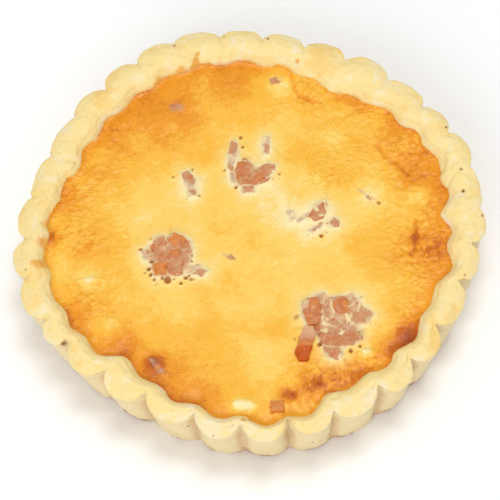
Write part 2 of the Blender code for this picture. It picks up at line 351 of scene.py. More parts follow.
# Places where the dough caught the heat: (azimuth, radius, size, strength).
SCORCHES = (
    (2.8, 57.2, 0.55, 1.3),
    (9.1, 58.3, 0.45, 0.9),
    (22.8, 60.2, 0.52, 0.9),
    (59.3, 61.6, 0.59, 0.9),
    (68.6, 59.5, 0.59, 1.0),
    (70.2, 59.9, 0.52, 0.9),
    (79.9, 59.1, 0.59, 0.9),
    (91.6, 60.5, 0.52, 0.8),
    (104.7, 61.6, 0.59, 0.8),
    (138.2, 59.9, 0.59, 0.9),
    (151.0, 59.3, 0.52, 0.8),
    (186.5, 60.7, 0.52, 0.7),
    (210.6, 59.7, 1.1, 0.9),
    (223.3, 59.8, 1.2, 1.0),
    (251.0, 60.6, 0.23, 0.7),
    (256.3, 62.6, 0.33, 0.9),
    (260.6, 60.0, 0.29, 1.0),
    (275.7, 60.8, 0.23, 0.7),
    (293.0, 62.4, 0.33, 0.8),
    (321.0, 60.4, 0.52, 0.5),
    (335.3, 59.6, 1.1, 1.1),
    (337.2, 58.8, 0.45, 0.6),
    (354.9, 61.4, 0.52, 0.8),
)
# Burnt flakes on the outer wall: (azimuth, height, length along the wall, width, strength).
WALL_SPECKS = (
    (226.4, 2.0, 2.6, 0.7, 1.5),
    (230.6, 1.4, 1.6, 0.5, 0.9),
    (248.3, 13.5, 0.8, 0.6, 0.9),
    (263.0, 3.0, 1.4, 0.6, 0.6),
    (279.5, 8.0, 0.6, 0.5, 0.6),
    (301.0, 2.5, 2.0, 0.6, 0.7),
    (318.0, 6.0, 1.0, 0.6, 0.5),
    (344.0, 3.0, 1.6, 0.7, 0.6),
    (30.0, 4.0, 1.8, 0.7, 0.6),
    (76.0, 3.0, 2.0, 0.8, 0.7),
    (122.0, 5.0, 1.4, 0.7, 0.6),
    (168.0, 3.0, 2.2, 0.7, 0.7),
    (199.0, 6.0, 1.2, 0.6, 0.6),
)
# Seams where the rolled dough was joined or folded: ((azimuth, radius) along it), width, depth.
DOUGH_SEAMS = (
    (((9.1, 58.8), (8.6, 57.0), (7.0, 54.6), (4.4, 52.4)), 0.35, 0.45),
    (((16.0, 56.0), (13.4, 55.2), (11.0, 53.0)), 0.5, 0.25),
    (((1.2, 62.5), (1.0, 60.0), (0.4, 58.4)), 0.4, 0.4),
    (((137.4, 58.4), (136.4, 55.0)), 0.4, 0.3),
    (((146.4, 57.6), (145.6, 55.4)), 0.4, 0.25),
    (((152.6, 56.6), (151.0, 51.6)), 0.45, 0.35),
    (((193.4, 58.6), (192.6, 56.4)), 0.35, 0.3),
    (((262.8, 58.4), (265.0, 57.4), (267.4, 56.6)), 0.5, 0.45),
    (((308.0, 60.4), (305.6, 57.6), (306.4, 55.4)), 0.5, 0.3),
    (((232.0, 61.0), (229.6, 58.6), (230.6, 56.0)), 0.5, 0.2),
    (((288.0, 61.0), (285.4, 58.2)), 0.5, 0.25),
)
# Custard that ran onto the dough before it set: (azimuth, radius, size, strength).
CUSTARD_RUNS = (
    (99.6, 56.4, 0.8, 0.8),
    (100.6, 54.8, 1.0, 1.0),
    (101.4, 53.2, 1.2, 0.9),
    (105.4, 53.4, 1.4, 0.8),
    (93.5, 54.0, 1.2, 0.45),
    (113.0, 54.0, 1.4, 0.45),
    (70.5, 52.6, 0.9, 0.8),
    (173.0, 54.6, 1.8, 0.6),
    (179.0, 55.0, 2.2, 0.8),
    (186.0, 56.2, 2.0, 0.8),
    (185.4, 58.4, 1.3, 0.5),
    (192.0, 54.8, 1.8, 0.4),
    (263.4, 58.0, 0.8, 1.0),
    (265.6, 57.2, 0.8, 0.9),
    (267.2, 56.6, 0.9, 0.8),
)


def around(rows):
    """Rows that start with an azimuth in degrees and a radius, as rows that start with x and y."""
    turned = []
    for azimuth, radius, *rest in rows:
        bearing = math.radians(azimuth)
        turned.append((radius * math.cos(bearing), radius * math.sin(bearing), *rest))
    return turned


LIP_DROP = 1.3
WALL_RADIUS = 60
FOLD_REACH = 4.5
FOLD_DEPTH = 0.5
TWIST_DEPTH = 0.35


def pinch_folds(turns, radius, height):
    """Depth of the fold that runs inward over the rim from each crease, slanted like a pinched rope in front."""
    azimuth = turns / FLUTES * math.tau + CREASES[0]
    inward = np.clip((61.5 - radius) / FOLD_REACH, 0, 1)[:, None]
    slant = 0.55 * smooth_step(ropeness(azimuth + 0.9), -0.2, 0.8)[None, :] + 0.06
    at = turns[None, :] + slant * inward**1.3
    away = np.abs(at - np.round(at)) * (math.tau * LOBE_RADIUS / FLUTES)
    number = np.round(at).astype(int) % FLUTES
    strength = 0.25 + 0.75 * np.mod(DEPTHS[number] * 7.3, 1.0)
    line = np.exp(-((away / (0.5 + 0.5 * inward)) ** 2)) * (1 - inward) ** 1.3
    over_rim = smooth_step(height, RIM_HEIGHT - 2.0, RIM_HEIGHT - 1.0)[:, None]
    broad = np.exp(-((away / 1.5) ** 2)) * np.sin(math.pi * np.clip(inward + 0.15, 0, 1))
    twist = 0.5 + 0.5 * ropeness(azimuth)[None, :]
    return (FOLD_DEPTH * strength * line + TWIST_DEPTH * twist * broad) * over_rim


def height_over_lip(stations):
    """Height of each station over the case's lip."""
    return stations[:, 1] - (RIM_HEIGHT - LIP_DROP)


def shape_case():
    """The whole case as one closed mesh, with its bake, scorch and run masks, painted shade in the creases and a
    painted highlight along the lip.
    """
    rim = evenly(RIM_PROFILE, STATION_PITCH)
    stations = np.concatenate([BOWL_STATIONS, rim, BASE_STATIONS])
    turns = np.arange(FLUTES * COLUMNS_PER_FLUTE) / COLUMNS_PER_FLUTE
    grid = flute_points(turns, stations)
    rows, columns = grid.shape[:2]
    flat = grid.reshape(-1, 3)
    x, y, z = flat.T
    on_top = np.repeat(smooth_step(stations[:, 1], RIM_HEIGHT - 2.4, RIM_HEIGHT - 1.2), columns)
    outer = np.repeat((np.arange(rows) > len(BOWL_STATIONS) + len(rim) // 3) & (stations[:, 1] > 0.01), columns)
    wall = outer * (1 - on_top)
    seen = np.repeat((stations[:, 1] > FLOOR_THICKNESS) | (np.arange(rows) > len(BOWL_STATIONS)), columns)
    seen = seen * smooth_step(z, 0.1, 1.5)

    squashed = flat * np.array([1, 1, 2.6])
    relief = 0.30 * ripple(flat, 7.0, 1) + 0.16 * ripple(flat, 3.0, 2) + 0.07 * ripple(flat, 1.3, 3)
    relief -= 0.12 * fold_lines(flat, 5.0, 4) * on_top
    relief += wall * (0.20 * ripple(squashed, 2.4, 5) + 0.12 * ripple(squashed, 1.1, 6))
    relief -= spots(x, y, around(DOUGH_PITS)) * smooth_step(z, 16.5, 18)
    seam = np.zeros(len(x))
    for corners, width, depth in DOUGH_SEAMS:
        line = np.exp(-(((along_line(x, y, around(corners)) + 0.2 * ripple(flat, 1.2, 51)) / width) ** 2))
        seam = np.maximum(seam, depth * line * smooth_step(z, 16.5, 18))
    relief -= seam
    strata = fold_lines(flat * np.array([1, 1, 4.5]) + 0.8 * ripple(flat, 4.0, 52)[:, None], 6.5, 53)
    relief -= 0.24 * wall * strata
    fold = pinch_folds(turns, stations[:, 0], stations[:, 1])
    relief -= fold.ravel()
    relief -= 0.10 * fold_lines(squashed, 2.6, 9) * smooth_step(ripple(flat, 9, 10), -0.1, 0.5)
    grid = grid + (surface_normals(grid) * (relief * seen).reshape(rows, columns, 1))
    ragged = np.repeat(np.exp(-(((stations[:, 1] - RIM_HEIGHT + LIP_DROP) / 0.7) ** 2)), columns) * outer
    grid[..., 2] += (ragged * 0.18 * ripple(flat, 1.7, 8)).reshape(rows, columns)

    golden_and_lip_highlight = 0.42 + 0.34 * billow(flat, 8.0, 12) + 0.20 * ripple(flat, 2.4, 13)
    golden_and_lip_highlight += 0.25 * on_top * smooth_step(ripple(flat, 14.0, 14), 0.0, 0.8)
    golden_and_lip_highlight -= 0.35 * wall + 0.15 * smooth_step(-y, 42, 58)
    # Painted highlight: a thin paler band along the outer edge of the lip.
    golden_and_lip_highlight -= 0.25 * np.exp(-((height_over_lip(stations) / 0.5) ** 2)).repeat(columns) * outer
    across = np.abs(2 * np.mod(turns, 1.0) - 1)
    # Painted shade: the upper outer wall is darkened toward each crease, where the flutes fold in.
    painted_crease_shade = wall * np.tile(smooth_step(across, 0.55, 1.0), rows) * smooth_step(-z, -19.5, -15)
    base_brown = smooth_step(-z, -3.0, -0.8) * (0.65 + 0.55 * ripple(flat, 6.0, 15))
    speck = smooth_step(ripple(flat, 1.1, 16), 0.80, 0.95) * smooth_step(ripple(flat, 6.0, 17), 0.2, 0.7)
    scorch = spots(x, y, around(SCORCHES)) * smooth_step(z, 17, 18.6) + 0.4 * speck + 0.5 * seam
    bearing = np.arctan2(y, x)
    for azimuth, level, length, width, strength in WALL_SPECKS:
        away = np.angle(np.exp(1j * (bearing - math.radians(azimuth)))) * WALL_RADIUS
        away = away + 0.4 * ripple(flat, 1.5, 54)
        scorch += strength * outer * np.exp(-((away / length) ** 2) - ((z - level) / width) ** 2)
    run = spots(x, y, around(CUSTARD_RUNS)) * smooth_step(z, 14, 17)
    run += 0.5 * np.repeat(smooth_step(-stations[:, 0], -55.4, -54.2), columns) * (0.7 + 0.5 * ripple(flat, 4.0, 18))
    points = np.concatenate([grid.reshape(-1, 3), [[0, 0, FLOOR_THICKNESS], [0, 0, 0]]])
    faces = lattice_faces(rows, columns, True)[:, ::-1].tolist()
    faces += end_faces(len(points) - 2, len(points) - 1, rows, columns)
    masks = {
        "golden_and_lip_highlight": golden_and_lip_highlight,
        "wall": wall,
        "painted_crease_shade": painted_crease_shade,
        "scorch": scorch,
        "run": run,
        "base_brown": base_brown,
    }
    masks = {name: np.concatenate([values, [0, 0]]) for name, values in masks.items()}
    return points, faces, masks


# ---------------------------------------------------------------- diced ham
# Plan outline of each dice, how much custard covers it (-1 bare, 1 hidden), how the cover changes toward its
# first corner, and how far the oven browned it.
HAM_CUTS = {
    "ham_west_slab": (
        ((-25.4, -0.5), (-23.1, -0.3), (-22.7, -4.0), (-22.9, -7.6), (-25.3, -7.7), (-26.0, -4)),
        -0.8,
        0.5,
        0.25,
    ),
    "ham_west_strip": (
        ((-22.5, -4.7), (-19.1, -4.9), (-18.6, -9), (-19.2, -12.5), (-22.8, -12.1), (-22.9, -8)),
        -0.95,
        0.1,
        0.4,
    ),
    "ham_west_diamond": (
        ((-22.2, -1.3), (-20.0, 0.1), (-17.6, -1.8), (-18.3, -4.4), (-20.4, -4.2)),
        -0.9,
        0.2,
        0.75,
    ),
    "ham_west_front_dice": (((-26.8, -8.2), (-23.2, -7.9), (-23.3, -12.1), (-26.4, -12.3)), -0.9, 0.5, 0.9),
    "ham_west_sliver": (
        ((-17.5, -1.9), (-16.0, -2.8), (-16.4, -7.2), (-17.6, -9.4), (-18.6, -8), (-18.1, -5)),
        -0.3,
        -0.2,
        0.1,
    ),
    "ham_west_outlier": (
        ((-17.0, -10.7), (-14.4, -10.5), (-12.4, -12.2), (-14.0, -13.3), (-17.2, -12.6)),
        -0.15,
        0.2,
        0.0,
    ),
    "ham_west_crumb": (((-29.2, -4.3), (-27.5, -4.0), (-27.3, -6.6), (-29.0, -6.5)), 0.0, 0.0, 0.1),
    "ham_east_stick": (
        ((11.2, -31.7), (13.5, -32.3), (14.0, -34.2), (11.4, -41.6), (9.2, -42.0), (7.9, -39.4), (9.3, -36)),
        -1.0,
        0.0,
        0.6,
    ),
    "ham_east_left_dice": (
        ((11.6, -24.8), (15.2, -23.6), (16.0, -27.2), (15.4, -30.9), (12.4, -31.2), (11.0, -28.4)),
        -0.7,
        0.3,
        0.45,
    ),
    "ham_east_back_dice": (
        ((19.0, -24.5), (22.8, -24.5), (23.2, -27.4), (22.6, -29.2), (20.2, -28.8), (19.3, -26.8)),
        -0.9,
        0.2,
        0.6,
    ),
    "ham_east_inner_slab": (
        ((16.1, -29.9), (19.6, -30.0), (20.0, -32.1), (18.8, -32.5), (16.2, -31.4)),
        -0.7,
        0.2,
        0.1,
    ),
    "ham_east_right_slab": (
        ((24.0, -29.2), (27.6, -28.6), (29.2, -30.6), (27.4, -32.2), (23.7, -32.0)),
        -0.4,
        -0.1,
        0.05,
    ),
    "ham_east_middle_dice": (
        ((18.2, -33.2), (22.8, -32.6), (23.8, -34.0), (21.2, -35.0), (18.7, -34.9)),
        -0.6,
        0.1,
        0.0,
    ),
    "ham_east_long_strip": (
        ((15.6, -34.7), (20.0, -35.3), (25.5, -35.2), (25.5, -37.5), (22.6, -38.5), (17.2, -38.0), (15.3, -36.4)),
        -0.8,
        0.1,
        0.3,
    ),
    "ham_east_front_dice": (
        ((15.8, -38.5), (18.8, -39.0), (20.0, -41.3), (18.8, -42.3), (16.2, -41.4)),
        -0.5,
        -0.3,
        0.1,
    ),
    "ham_north_strip": (
        ((-2.7, 27.2), (-1.2, 26.8), (-1.6, 21.4), (-3.0, 18.4), (-4.2, 19.0), (-3.5, 23.4)),
        0.0,
        -0.35,
        0.0,
    ),
    "ham_north_block": (
        ((-1.7, 19.8), (0.6, 20.4), (2.4, 18.4), (1.2, 15.9), (0.9, 13.3), (-1.5, 13.4), (-2.2, 16.5)),
        -0.85,
        0.4,
        0.4,
    ),
    "ham_north_slant": (
        ((8.6, 17.6), (6.6, 18.8), (1.6, 15.9), (1.2, 13.2), (2.4, 12.5), (5.6, 13.6)),
        -0.8,
        0.35,
        0.5,
    ),
    "ham_north_chip": (((-1.0, 12.7), (1.8, 12.4), (2.1, 10.3), (-0.8, 10.3)), -0.4, 0.0, 0.2),
    "ham_north_faint_strip": (((6.0, 27.2), (7.8, 27.7), (7.2, 22.0), (5.7, 22.0)), 0.22, 0.0, 0.0),
    "ham_northwest_strip": (
        ((-17.0, 18.7), (-14.8, 19.4), (-13.2, 16), (-13.3, 11.4), (-15.5, 11.2), (-15.9, 15)),
        0.0,
        -0.5,
        0.1,
    ),
    "ham_middle_chip": (((10.0, 3.5), (11.6, 3.3), (12.2, 1.0), (10.6, 0.2)), 0.1, -0.2, 0.0),
    "ham_middle_block": (
        ((20.4, 5.4), (20.8, 2.4), (19.2, 0.2), (17.2, -0.1), (15.9, 1.2), (18.2, 4.2)),
        -0.25,
        0.1,
        0.3,
    ),
    "ham_middle_right_dice": (
        ((20.5, -1.2), (22.4, -0.2), (23.5, -1.4), (23.2, -3), (21.0, -3.0)),
        -0.1,
        0.0,
        0.1,
    ),
    "ham_middle_sliver": (((15.2, -3.2), (19.2, -0.9), (19.6, -1.9), (16.2, -4.2)), 0.2, 0.0, 0.0),
    "ham_far_sliver": (((29.4, 8.2), (30.4, 7.8), (33.4, 4.6), (32.4, 4.3)), 0.15, 0.0, 0.0),
    "ham_back_chip": (((9.4, 46.3), (12.4, 46.5), (12.6, 44.6), (9.8, 44.3)), -0.2, 0.0, 0.2),
    "ham_front_cube": (((0.4, -52.2), (3.6, -52.5), (3.7, -55.6), (0.3, -55.5)), -1.0, 0.0, 0.7),
}
# Trimmings between the dice: (outline, cover, browning, height of the top over the skin).
TRIMMINGS = {
    "ham_trimming_inner": (((15.7, -25.4), (18.2, -25.8), (18.0, -29.0), (15.9, -28.8)), -0.55, 0.2, 0.45),
    "ham_trimming_back": (((14.9, -22.8), (17.3, -22.3), (17.0, -24.6), (15.3, -24.6)), 0.15, 0.0, 0.2),
    "ham_trimming_right": (
        ((24.0, -23.7), (25.0, -23.8), (26.5, -26.3), (25.4, -27.0), (24.1, -26.0)),
        -0.1,
        0.3,
        0.25,
    ),
    "ham_trimming_dark": (((13.8, -31.6), (15.0, -31.4), (15.4, -33.6), (14.4, -34.2)), -0.8, 0.6, 0.0),
    "ham_trimming_north": (((-3.8, 18), (-2.6, 18), (-2.7, 13.8), (-3.9, 14)), 0.25, 0.0, 0.15),
    "ham_trimming_middle": (((12.4, 0.3), (15.8, 2.6), (16.6, 1.4), (13.0, -0.5)), 0.1, 0.0, 0.15),
    "ham_trimming_west": (((-27.0, -2.4), (-26.2, -2.2), (-25.9, -4.8), (-26.6, -5.0)), -0.5, 0.9, 0.1),
    "ham_trimming_far_back": (((-18.4, 41.2), (-15.4, 40.8), (-14.8, 39.4), (-18.0, 39.2)), 0.2, 0.3, 0.1),
    "ham_trimming_far_front": (
        ((-29.6, -36.4), (-27.6, -36.8), (-26.0, -40.6), (-27.4, -40.8)),
        0.3,
        0.9,
        0.1,
    ),
    "ham_trimming_single": (((-8.0, -7.4), (-5.4, -7.8), (-4.4, -9.6), (-7.0, -9.2)), 0.5, 0.0, 0.0),
}
# Pieces that stand clear of the custard, and pieces so deep in it that no pale ring shows round them.
BARE = ("ham_east_stick", "ham_front_cube")
DEEP = ("ham_trimming_far_back", "ham_trimming_far_front", "ham_trimming_single", "ham_back_chip", "ham_far_sliver")
HAM_THICKNESS = 3.6
RIM_COLUMNS = 72


def polar_outline(corners, angles):
    """Distance from the middle of an outline to its edge, at these angles."""
    corners = np.array(corners, float)
    middle = corners.mean(0)
    ends = np.roll(corners, -1, axis=0)
    ray = np.stack([np.cos(angles), np.sin(angles)], -1)
    reach = np.full(len(angles), 1e9)
    for start, end in zip(corners - middle, ends - middle):
        side = end - start
        bottom = ray[:, 0] * side[1] - ray[:, 1] * side[0]
        bottom = np.where(np.abs(bottom) < 1e-9, 1e-9, bottom)
        out = (start[0] * side[1] - start[1] * side[0]) / bottom
        share = (start[0] * ray[:, 1] - start[1] * ray[:, 0]) / bottom
        good = (out > 0) & (share > -0.001) & (share < 1.001)
        reach = np.where(good, np.minimum(reach, out), reach)
    return middle, reach


def ham_cuts():
    """Every visible cut of ham: its outline, the heights of its top and bottom, its cover and its browning."""
    cuts = []
    for name, (corners, cover, change, toast) in HAM_CUTS.items():
        low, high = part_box(name)
        bottom, top = low[2] / MM, high[2] / MM - 0.1
        cuts.append((name, corners, bottom, top, cover, change, toast))
    for name, (corners, cover, toast, proud) in TRIMMINGS.items():
        x, y = np.array(corners).mean(0)
        top = float(skin_level(x, y)) + proud
        cuts.append((name, corners, top - HAM_THICKNESS / 2, top, cover, 0.0, toast))
    return cuts


def shape_dice(cut, seed):
    """A knife-cut piece of ham: an upright prism on its outline, with worn edges and an uneven top."""
    name, corners, bottom, top, _, _, toast = cut
    angles = np.arange(RIM_COLUMNS) / RIM_COLUMNS * math.tau
    middle, reach = polar_outline(corners, angles)
    if name not in BARE:
        reach = 0.1 * np.roll(reach, 1) + 0.8 * reach + 0.1 * np.roll(reach, -1) + 0.32
    worn = 0.22 if name in BARE else 0.4
    # Rows run from the middle of the top, over the worn edge and down the side: (share, inset, drop).
    rows = [(k / 11, worn, 0.0) for k in range(1, 12)]
    rows += [(1.0, worn * (1 - math.sin(a)), worn * (1 - math.cos(a))) for a in (0.4, 0.8, 1.2)]
    deep = top - bottom
    rows += [(1.0, 0.0, worn + (deep - worn) * k / 7) for k in range(0, 8)]
    rows += [(share, 0.0, deep) for share in (0.66, 0.33)]
    share, inset, drop = (np.array(v)[:, None] for v in zip(*rows))
    radius = np.maximum(share * (reach[None, :] - inset), 0.02)
    x = middle[0] + radius * np.cos(angles)
    y = middle[1] + radius * np.sin(angles)
    z = top - drop + 0 * x
    flat = np.stack([x, y, z], -1).reshape(-1, 3)
    upper = smooth_step(flat[:, 2], bottom + 0.5, top)
    lumps = 0.30 * ripple(flat, 2.6, seed) + 0.18 * ripple(flat, 1.2, seed + 1) + 0.08 * ripple(flat, 0.55, seed + 2)
    away = flat[:, :2] - middle
    ragged = 0.4 if name in BARE else 1.3
    spread = 1 + ragged * (0.10 * ripple(flat, 2.0, seed + 3) + 0.05 * ripple(flat, 0.9, seed + 4))
    points = np.column_stack([middle + away * spread[:, None], flat[:, 2] + lumps * upper])
    browned = toast - 0.15 + 0.45 * ripple(flat, 2.4, seed + 5) + 0.22 * ripple(flat, 1.0, seed + 6)
    if name == "ham_east_stick":
        browned = 0.05 + 1.15 * smooth_step(-flat[:, 1], 35.2, 38.6) + 0.12 * ripple(flat, 1.2, 7)
    if name == "ham_front_cube":
        browned = 0.75 + 0.3 * ripple(flat, 1.5, 7)
    fat = smooth_step(ripple(flat, 1.8, seed + 8), 0.35, 0.8)
    if name == "ham_east_stick":
        fat = smooth_step(flat[:, 1], -36.0, -33.6)
    points = np.concatenate([points, [[*middle, points[:RIM_COLUMNS, 2].mean()], [*middle, bottom]]])
    faces = lattice_faces(len(rows), RIM_COLUMNS, True).tolist()
    faces += end_faces(len(points) - 2, len(points) - 1, len(rows), RIM_COLUMNS)
    masks = {"toast": np.concatenate([browned, browned[[0, -1]]]), "fat": np.concatenate([fat, fat[[0, -1]]])}
    return points, faces, masks


# ---------------------------------------------------------------- egg custard
# Browned places and pale places of the skin: (x, y, radius, strength).
BROWNING = (
    (-20, 41, 12, 0.30), (0, 48, 9, 0.30), (-35, 34, 9, 0.20), (-45, 14, 8, 0.22), (-42, -2, 8, 0.26),
    (-44, -18, 7, 0.16), (-37, -33, 8, 0.30), (-25, -43, 9, 0.22), (-28, -38, 3, 0.12), (15, -48, 9, 0.26),
    (37.5, -37.5, 3.6, 0.75), (33, -42, 3.5, 0.35), (24, -44, 6, 0.2), (38, -30, 7, 0.18),
    (47, -10, 7, 0.26), (48, 12, 7, 0.28), (41, 18, 7, 0.22), (22, 15, 6, 0.20), (38, -15, 9, 0.16),
    (18, 39, 4, 0.20), (-12, 30, 10, 0.10), (-15, -33, 12, 0.10), (3, -33, 4, 0.14), (32, 36, 6, 0.22),
    (44, 28, 6, 0.22), (-53, 3, 2.5, 0.35), (4.5, -50.5, 2.2, 0.5), (10, -49, 3, 0.3),
    (6.6, -51.2, 1.3, 0.5), (13.5, -48.6, 1.6, 0.3), (20, -46, 4, 0.2), (-28, -37.6, 2.6, 0.55),
    (-12, -50, 7, 0.2), (48, -18, 6, 0.2), (50, 2, 5, 0.15), (44, 8, 4, 0.2), (-32, 22, 7, 0.08),
    (27, 27, 6, 0.10), (43.0, -8.5, 1.3, 0.34), (46, -14, 5, 0.08), (-17, 40, 2.6, 0.16),
    (-50, -22, 4, 0.2),
)  # fmt: skip
PALING = (
    (6, 9, 9, 0.24), (14, -2, 9, 0.14), (25, 25, 3.2, 0.26), (-19, 12, 8, 0.16), (33, 5, 4.5, 0.24),
    (0, -38, 5, 0.2), (-8, -52.2, 1.9, 0.7), (-5.2, -53.0, 1.7, 0.6), (-44, -9, 5, 0.20),
    (45, 4, 2.8, 0.26), (12, 44, 3.6, 0.34), (28, -26, 7, 0.24), (-8, -8, 4, 0.18), (-22, -17, 7, 0.12),
    (-30, 6, 6, 0.12), (6, 25, 5, 0.20), (28, 33, 3, 0.2), (-3, 20, 6, 0.12), (-13, 15, 5, 0.12),
    (-24, -6, 9, 0.12), (20, -43, 4, 0.2), (18, 2, 7, 0.14), (-42, -24, 3, 0.16), (8, -20, 14, 0.05),
    (-52, -8, 3.5, 0.2), (26.4, -41, 1.6, 0.6), (-44, -11.4, 2.4, 0.3), (-38.6, -24.4, 2, 0.2),
)  # fmt: skip
# Where the skin blistered, and where it wrinkled: (x, y, radius, strength).
BLISTERED = (
    (14, -48, 10, 1.0), (26, -43, 6, 0.8), (48, -2, 8, 0.9), (46, 20, 8, 0.9), (36, 33, 7, 0.7), (21, 15, 7, 0.7),
    (-49, 4, 7, 0.9), (-46, 17, 7, 0.7), (-44, -16, 7, 0.7), (-34, 36, 8, 0.6), (-10, 46, 10, 0.4), (18, 42, 6, 0.6),
    (43, -16, 8, 0.8), (38, -32, 6, 0.7), (-25, -38, 8, 0.35), (-36, 0, 8, 0.4), (-22, 30, 8, 0.35),
)  # fmt: skip
WRINKLED = (
    (18, 41, 8, 1.0), (40, 14, 9, 1.0), (41, -8, 9, 0.9), (-46, -18, 8, 0.8), (28, 25, 8, 0.6),
    (-38, 20, 9, 0.5), (-48, 12, 7, 0.5), (30, 34, 7, 0.7), (-12, 32, 10, 0.3), (-42, -33, 6, 0.4),
)  # fmt: skip
# Flakes of pale custard that stand up from the skin: (x, y, half length, half width, height).
PALE_FLAKES = (
    (-6.8, -52.4, 3.2, 1.9, 0.35),
    (26.4, -41.0, 2.2, 0.7, 0.5),
    (17.4, -32.2, 1.9, 0.6, 0.5),
    (10.6, -32.6, 1.7, 0.6, 0.5),
    (13.2, -33.0, 1.2, 0.5, 0.5),
    (-44.0, -11.4, 4.0, 0.9, 0.3),
    (-38.6, -24.4, 2.2, 1.4, 0.25),
)
# Open holes where steam or a gap beside the ham broke through: (x, y, radius, depth).
HOLES = (
    (-29.5, -3.2, 0.65, 0.8), (-26.9, -7.6, 0.6, 1.2), (-27.7, -9.7, 0.7, 1.3), (-27.4, -11.4, 0.6, 1.2),
    (-26.6, -13.0, 0.5, 1.0), (-23.0, -13.5, 1.0, 1.6), (-24.4, -12.9, 0.5, 1.0), (-18.2, -13.3, 0.6, 1.2),
    (-17.4, -12.9, 0.4, 1.0), (-16.8, -13.9, 0.45, 1.0), (-19.6, -14.7, 0.5, 1.1),
    (-21.3, -13.5, 0.35, 0.9), (-16.0, -6.9, 0.34, 0.8), (-16.3, -8.6, 0.38, 0.8),
    (-28.9, -10.6, 0.34, 0.9), (-26.1, -14.4, 0.25, 0.6), (-26.6, -0.3, 0.36, 0.6), (-21.3, 0.4, 0.3, 0.6),
    (-14.8, -9.7, 0.3, 0.6), (9.6, -28.4, 0.9, 0.5), (11.4, -25.6, 0.34, 0.6), (14.9, -34.0, 0.6, 1.4),
    (14.8, -37.2, 0.7, 1.5), (15.6, -38.6, 0.4, 0.9), (25.0, -39.1, 0.48, 1.2), (22.5, -40.1, 0.55, 1.2),
    (20.6, -42.6, 0.28, 0.7), (26.8, -27.6, 0.34, 0.8), (28.4, -32.6, 0.25, 0.7), (27.0, -24.7, 0.3, 0.6),
    (8.4, -34.8, 0.48, 0.5), (0.0, 28.6, 0.53, 1.0), (0.3, 25.4, 0.49, 0.9), (0.4, 21.2, 0.75, 0.7),
    (-5.3, 18.7, 0.38, 0.9), (-2.7, 12.8, 0.51, 1.3), (-13.8, 20.0, 0.42, 0.7), (-19.2, 18.3, 0.49, 0.6),
    (-12.7, 11.5, 0.38, 1.0), (-16.1, 11.0, 0.25, 0.7), (7.3, 14.2, 0.28, 0.7), (9.3, 15.4, 0.4, 0.8),
    (18.5, -4.9, 0.62, 1.5), (20.0, -4.2, 0.3, 0.8), (34.8, 3.4, 0.6, 0.8), (9.2, 13.9, 0.25, 0.6),
    (15.0, -4.2, 0.25, 0.6),
)  # fmt: skip
# Cracks and folds in the skin: points along each, then its width, its depth (or height if negative) and stain.
CREASES_IN_SKIN = (
    (((-21.2, 5.2), (-21.0, 3.0), (-21.3, 0.6)), 0.25, 0.30, 0.2),
    (((15.6, 47.0), (16.2, 42.0), (17.4, 39.6), (20.4, 37.6), (22.4, 36.8)), 0.55, 0.45, 0.30),
    (((36.6, 21.0), (38.2, 17.0), (41.6, 14.0), (43.4, 11.2)), 0.50, 0.45, 0.30),
    (((43.8, -3.0), (43.6, -7.0), (42.8, -10.5), (41.4, -13.4)), 0.60, 0.50, 0.40),
    (((43.0, 9.0), (43.6, 4.0), (44.2, -1.0)), 0.7, -0.35, 0.0),
    (((-50.0, -11.6), (-45.6, -11.8), (-41.0, -12.4)), 0.40, 0.25, 0.25),
    (((-52.0, -7.0), (-49.0, -10.0), (-46.6, -13.4)), 0.45, -0.3, 0.0),
    (((8.6, 24.6), (10.0, 22.0), (12.4, 19.6)), 0.35, 0.2, 0.15),
    (((22.6, 11.4), (21.4, 8.6), (21.6, 6.0)), 0.4, 0.25, 0.18),
    (((30.4, 31.6), (27.0, 28.4), (24.6, 27.0)), 0.5, -0.35, 0.0),
    (((-39.6, -18.0), (-38.4, -22.0), (-40.0, -26.0)), 0.5, -0.3, 0.0),
    (((23.0, 25.6), (26.0, 24.0), (28.6, 25.0)), 0.6, -0.4, 0.0),
)
# Ham that only tints the skin from below: (x, y, radius, strength).
SUNK_HAM = (
    (-17.0, 40.4, 1.8, 0.55), (-15.4, 39.4, 1.5, 0.4), (-28.4, -37.6, 1.8, 0.25), (-27.2, -40.0, 1.4, 0.15),
    (-6.6, -8.0, 1.6, 0.28), (-4.6, -9.4, 1.4, 0.2), (8.6, -50.6, 1.4, 0.3), (32.6, 4.0, 2.2, 0.3),
    (15.4, -24.6, 1.6, 0.5), (25.6, -25.4, 1.4, 0.6), (-47.0, -6.4, 1.4, 0.25), (31.0, -30.4, 1.6, 0.3),
)  # fmt: skip
# Custard stained by the juice of the ham packed under it: (x, y, radius, strength).
HAM_JUICE = (
    (19.5, -31, 5.5, 0.8), (22, -34.5, 4, 0.5), (17.5, -27.5, 3.5, 0.6), (18.5, -40, 2.5, 0.4), (-21.5, -6.5, 4.5, 0.7),
    (-15.5, -11, 2.2, 0.4), (2, 16, 3.2, 0.5), (-3.2, 20, 2.4, 0.3), (17, 1, 3.4, 0.35), (-15, 14, 2.2, 0.3),
)  # fmt: skip
# Clusters whose cuts lie so close that the custard between them is tinted: (x, y, radius, strength).
PACKED = ((20.5, -31.5, 9.0, 1.4), (-21.5, -6.5, 6.0, 1.2), (2.0, 15.5, 4.0, 0.8))
# Clusters whose cuts have strands of custard between them: (x, y, radius, strength).
VEINED = ((21.0, -32.0, 9.0, 1.3), (-21.0, -7.0, 5.0, 0.45))
SKIN_CELLS = 300
RING_COLUMNS_PER_FLUTE = 16
CUT_SURROUNDINGS = 16
EDGE_STATION = (55.6, RIM_HEIGHT - 1.4, 0.06, 0.92, 0.0)
SKIRT = ((54.2, RIM_HEIGHT - 5.0, 0.0, 1.0, 0.0), (49.0, FLOOR_THICKNESS + 0.4, 0.0, 0.2, 0.0))


